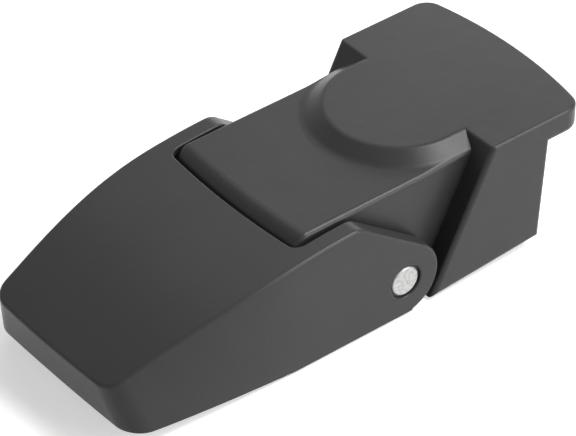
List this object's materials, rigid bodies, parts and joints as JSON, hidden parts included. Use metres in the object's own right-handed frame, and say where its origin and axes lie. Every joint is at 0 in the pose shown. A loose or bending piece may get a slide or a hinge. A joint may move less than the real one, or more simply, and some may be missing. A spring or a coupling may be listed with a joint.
{
  "type": "compression latch",
  "caption": "Black over-centre compression latch: a lever turns a shaft on crank links, pulling a claw with a finger lip down and back onto a keeper.",
  "frame": {"origin": "on the mounting surface under the base plate, below the axis of the pivot shaft, on the plane of symmetry", "axes": "+X from the lever's tip towards the claw's finger lip and the keeper, +Y to the left, +Z out of the mounting surface; the latch is closed at rest"},
  "size_m": [0.109, 0.044, 0.0288],
  "materials": {
    "black_casting": "satin black powder coat over a zinc casting",
    "shaft_steel": "matt ground steel",
    "plated_steel": "zinc plated",
    "spring_steel": "dark oiled spring steel",
    "bronze": "sintered bronze",
    "rubber": "matt moulded rubber"
  },
  "bodies": {
    "base": {"base_plate": "plated_steel", "pivot_bracket": "plated_steel", "bracket_rivets": "plated_steel", "base_pin": "plated_steel", "base_pin_ring": "spring_steel", "keeper": "plated_steel"},
    "lever": {"lever": "black_casting", "pivot_shaft": "shaft_steel", "shaft_lock_pin_left": "spring_steel", "shaft_lock_pin_right": "spring_steel", "crank_link_left": "plated_steel", "crank_link_right": "plated_steel", "link_bush_left": "bronze", "link_bush_right": "bronze", "centre_spacer": "plated_steel", "side_spacer_left": "plated_steel", "side_spacer_right": "plated_steel", "lever_bumper_left": "rubber", "lever_bumper_right": "rubber"},
    "claw": {"claw": "black_casting", "claw_bush_left": "bronze", "claw_bush_right": "bronze", "hook_plate": "plated_steel", "hook_plate_screws": "plated_steel"}
  },
  "joints": [
    {"name": "lever_pivot", "type": "hinge", "parent": "base", "child": "lever", "pos_m": [0.0095, 0, 0.0086], "axis": [0, 1, 0], "range_deg": [0, 80]},
    {"name": "claw_pivot", "type": "hinge", "parent": "lever", "child": "claw", "pos_m": [0, 0, 0.008], "axis": [0, 1, 0], "range_deg": [-80, 0]}
  ],
  "couplings": [
    {"joint": "claw_pivot", "follows": "lever_pivot", "ratio": -1}
  ]
}
